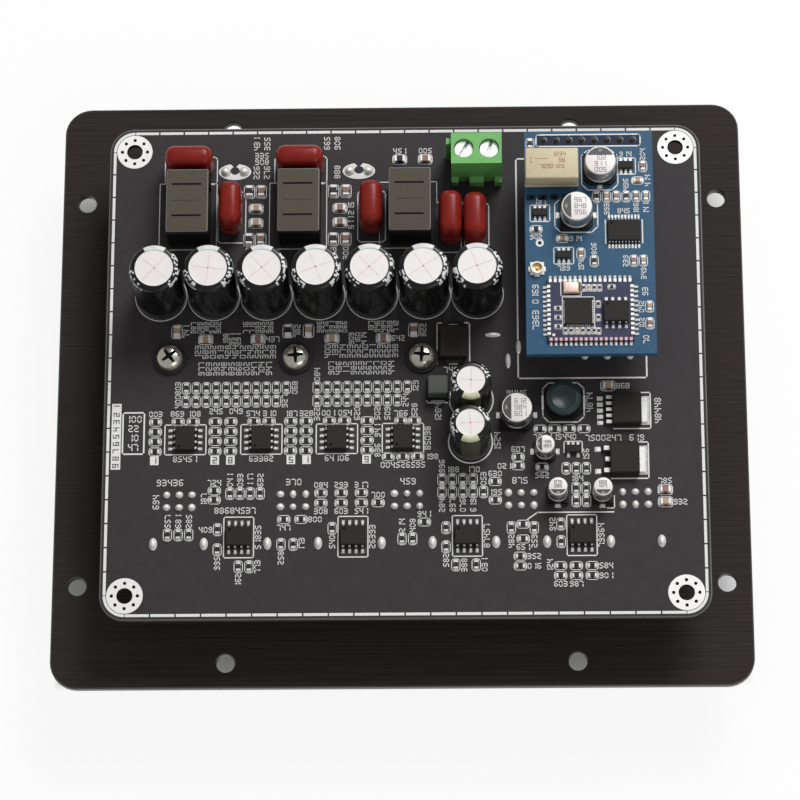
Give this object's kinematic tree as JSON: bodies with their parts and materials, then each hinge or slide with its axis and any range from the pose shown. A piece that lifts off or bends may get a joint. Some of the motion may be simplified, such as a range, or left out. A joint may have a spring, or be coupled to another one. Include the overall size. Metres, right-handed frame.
{
  "type": "audio amplifier board",
  "caption": "Audio amplifier circuit board fixed behind a rectangular panel with a row of turning control knobs, filter inductors, capacitors, a screw terminal and a plug-in wireless board.",
  "frame": {"origin": "centre of the panel's rear face, the face that seats on a cabinet and faces the boards", "axes": "+Z from the panel to the circuit boards, +X along the panel's long side, +Y towards the terminal block's edge; the knobs stand at negative Z"},
  "size_m": [0.14, 0.124, 0.05],
  "materials": {
    "panel_black": "brushed, black anodised",
    "board_black": "matte solder mask",
    "bare_aluminium": "milled",
    "chip_black": "moulded",
    "screw_steel": "nickel plated",
    "washer_black": "matte",
    "ferrite_grey": "matte sintered",
    "film_red": "dipped, glossy",
    "sleeve_black": "shrunk sleeve",
    "can_silver": "bright drawn",
    "coil_teal": "enamelled",
    "terminal_green": "moulded",
    "resistor_black": "glazed",
    "chip_tan": "ceramic",
    "solder": "bright solder",
    "board_blue": "satin solder mask",
    "relay_cream": "moulded",
    "crystal_copper": "plated can",
    "contact_gold": "gold plated",
    "socket_black": "moulded",
    "control_metal": "plated",
    "knob_black": "satin"
  },
  "bodies": {
    "chassis": {"front_panel": "panel_black", "main_board": "board_black", "heat_spreader": "bare_aluminium", "amplifier_chips": "chip_black", "spreader_screws": "screw_steel", "spreader_washers": "washer_black", "film_capacitors": "film_red", "supply_capacitors": "sleeve_black", "surface_capacitors": "can_silver", "buck_inductor": "coil_teal", "choke_inductor": "washer_black", "voltage_regulator": "chip_black", "power_transistor": "chip_black", "input_diode": "chip_black", "op_amps": "chip_black", "small_transistors": "chip_black", "terminal_housing": "terminal_green", "terminal_screws": "screw_steel", "terminal_clamps": "screw_steel", "chip_resistors": "resistor_black", "chip_capacitors": "chip_tan", "solder_joints": "solder", "wireless_board": "board_blue", "wireless_module": "board_blue", "module_chips": "chip_black", "module_crystal": "crystal_copper", "converter_chip": "chip_black", "signal_relay": "relay_cream", "deck_capacitors": "can_silver", "antenna_connector": "contact_gold", "header_socket": "socket_black", "header_pins": "socket_black", "deck_chips": "chip_tan", "power_jack": "socket_black", "input_jack": "socket_black", "speaker_sockets": "socket_black", "control_bodies": "control_metal", "control_nuts": "screw_steel", "control_washers": "screw_steel", "output_inductor_1": "ferrite_grey", "output_inductor_2": "ferrite_grey", "output_inductor_3": "ferrite_grey", "bulk_capacitor_1": "sleeve_black", "bulk_capacitor_2": "sleeve_black", "bulk_capacitor_3": "sleeve_black", "bulk_capacitor_4": "sleeve_black", "bulk_capacitor_5": "sleeve_black", "bulk_capacitor_6": "sleeve_black", "bulk_capacitor_7": "sleeve_black"},
    "control_1": {"control_shaft_1": "control_metal", "control_knob_1": "knob_black"},
    "control_2": {"control_shaft_2": "control_metal", "control_knob_2": "knob_black"},
    "control_3": {"control_shaft_3": "control_metal", "control_knob_3": "knob_black"},
    "control_4": {"control_shaft_4": "control_metal", "control_knob_4": "knob_black"},
    "control_5": {"control_shaft_5": "control_metal", "control_knob_5": "knob_black"}
  },
  "joints": [
    {"name": "control_1_turn", "type": "hinge", "parent": "chassis", "child": "control_1", "pos_m": [-0.0436, -0.0363, 0], "axis": [0, 0, -1], "range_deg": [-140, 140]},
    {"name": "control_2_turn", "type": "hinge", "parent": "chassis", "child": "control_2", "pos_m": [-0.0211, -0.0363, 0], "axis": [0, 0, -1], "range_deg": [-140, 140]},
    {"name": "control_3_turn", "type": "hinge", "parent": "chassis", "child": "control_3", "pos_m": [0.0014, -0.0363, 0], "axis": [0, 0, -1], "range_deg": [-140, 140]},
    {"name": "control_4_turn", "type": "hinge", "parent": "chassis", "child": "control_4", "pos_m": [0.0239, -0.0363, 0], "axis": [0, 0, -1], "range_deg": [-140, 140]},
    {"name": "control_5_turn", "type": "hinge", "parent": "chassis", "child": "control_5", "pos_m": [0.0464, -0.0363, 0], "axis": [0, 0, -1], "range_deg": [-140, 140]}
  ]
}
